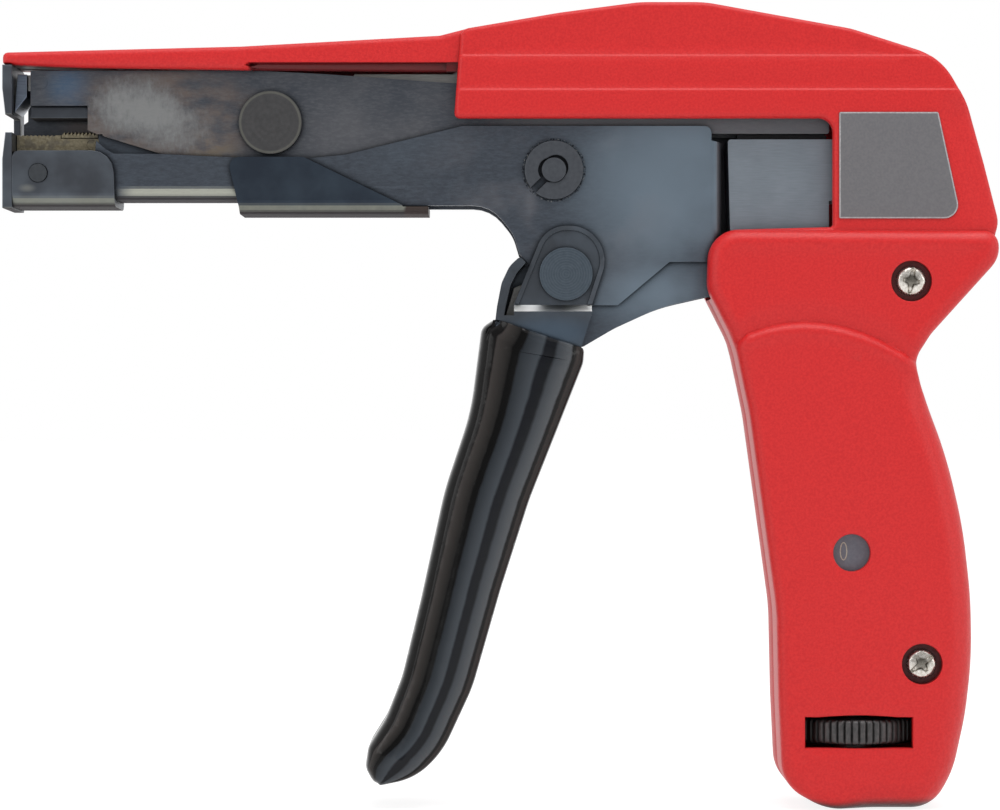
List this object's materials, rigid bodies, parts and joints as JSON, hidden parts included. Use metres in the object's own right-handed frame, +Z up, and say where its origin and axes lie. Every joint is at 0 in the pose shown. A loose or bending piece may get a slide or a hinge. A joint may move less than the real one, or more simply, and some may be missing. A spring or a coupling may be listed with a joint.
{
  "type": "cable tie tensioning tool",
  "caption": "Pistol-shaped hand tool that draws a plastic cable tie tight with its trigger and cuts the tail flush, with a wheel in the grip that sets the tension.",
  "frame": {"origin": "middle of the tool's bounding box, on the level of the grip's foot", "axes": "+Z up with the barrel level, nose toward -X, grip toward +X, the side with the screws and the wheel toward -Y"},
  "size_m": [0.1639, 0.023, 0.1326],
  "materials": {
    "red_shell": "red moulded shells with a fine orange-peel texture",
    "nickel_screw": "nickel plated screw with a combined cross and slot",
    "grey_label": "grey printed plate with a thin light border",
    "blued_steel": "dark blued sheet steel with faint heat tints and a fine grain",
    "pin_steel": "turned steel with rings left by the lathe, blued",
    "spring_steel": "drawn spring wire",
    "machined_steel": "milled steel, oiled",
    "blade_steel": "hardened blade, ground on its bevel",
    "gold_strip": "passivated strip, worn on its teeth",
    "black_sleeve": "glossy black dipped sleeve",
    "black_wheel": "black moulded wheel with a ribbed rim",
    "scale_face": "grey-blue scale strip with dark numbers"
  },
  "bodies": {
    "tool_body": {"left_housing": "red_shell", "right_housing": "red_shell", "housing_screws": "nickel_screw", "label_plate": "grey_label", "barrel_frame": "blued_steel", "handle_frame": "blued_steel", "barrel_core": "blued_steel", "tie_guide": "blued_steel", "nose_plate": "blued_steel", "front_clip": "blued_steel", "clip_rivets": "pin_steel", "barrel_saddle": "blued_steel", "cutter_pivot_pin": "pin_steel", "cutter_spring": "spring_steel", "drive_pin": "pin_steel", "drive_pin_rings": "pin_steel", "trigger_pin": "pin_steel", "trigger_pin_ring": "pin_steel", "trigger_spring": "spring_steel", "spring_seat": "machined_steel", "rod_bearing": "machined_steel", "tension_lever_pin": "pin_steel", "tension_spring": "spring_steel"},
    "trigger": {"trigger_lever": "blued_steel", "trigger_tongue": "machined_steel", "tongue_pin": "pin_steel", "trigger_sleeve": "black_sleeve"},
    "drive_lever": {"drive_lever": "machined_steel", "drive_bush": "pin_steel", "draw_pin": "pin_steel"},
    "draw_bar": {"draw_bar": "machined_steel", "toothed_strip": "gold_strip", "pawl_pin": "pin_steel", "pawl_spring": "spring_steel"},
    "gripper_pawl": {"gripper_pawl": "gold_strip"},
    "cutting_lever": {"cutting_lever": "blued_steel", "blade_block": "blued_steel", "cutter_blade": "blade_steel", "blade_screws": "pin_steel", "tail_spacer": "pin_steel"},
    "tension_lever": {"tension_lever": "blued_steel"},
    "setting_wheel": {"tension_wheel": "black_wheel", "tension_rod": "machined_steel"},
    "tension_nut": {"tension_nut": "machined_steel", "scale_plate": "scale_face"}
  },
  "joints": [
    {"name": "trigger_squeeze", "type": "hinge", "parent": "tool_body", "child": "trigger", "pos_m": [0.01076, 0, 0.08781], "axis": [0, -1, 0], "range_deg": [0, 30], "stiffness_Nm_per_rad": 0.25, "springref_deg": -17.19},
    {"name": "drive_lever_turn", "type": "hinge", "parent": "tool_body", "child": "drive_lever", "pos_m": [0.00881, 0, 0.10501], "axis": [0, 1, 0], "range_deg": [0, 30]},
    {"name": "draw_bar_slide", "type": "slide", "parent": "tool_body", "child": "draw_bar", "axis": [1, 0, 0], "range_m": [0, 0.00969]},
    {"name": "pawl_grip", "type": "hinge", "parent": "draw_bar", "child": "gripper_pawl", "pos_m": [-0.0679, 0, 0.10945], "axis": [0, 1, 0], "range_deg": [0, 5], "stiffness_Nm_per_rad": 0.01, "springref_deg": -5.73},
    {"name": "cutter_swing", "type": "hinge", "parent": "tool_body", "child": "cutting_lever", "pos_m": [-0.03797, 0, 0.1129], "axis": [0, -1, 0], "range_deg": [0, 3.5], "stiffness_Nm_per_rad": 1, "springref_deg": -5.73},
    {"name": "tension_lever_swing", "type": "hinge", "parent": "tool_body", "child": "tension_lever", "pos_m": [0.06599, 0, 0.1043], "axis": [0, 1, 0], "range_deg": [0, 9.81]},
    {"name": "setting_wheel_turn", "type": "hinge", "parent": "tool_body", "child": "setting_wheel", "pos_m": [0.05866, -0.001, 0.0127], "axis": [0, 0, 1], "range_deg": [0, 1080]},
    {"name": "tension_nut_slide", "type": "slide", "parent": "tool_body", "child": "tension_nut", "axis": [0, 0, 1], "range_m": [0, 0.006], "deforming": ["tension_spring"]}
  ],
  "couplings": [
    {"joint": "drive_lever_turn", "follows": "trigger_squeeze", "ratio": 1},
    {"joint": "draw_bar_slide", "follows": "trigger_squeeze", "m_per_rad": 0.018487},
    {"joint": "tension_lever_swing", "follows": "cutter_swing", "ratio": 2.8},
    {"joint": "setting_wheel_turn", "follows": "tension_nut_slide", "rad_per_m": 3141.6}
  ]
}
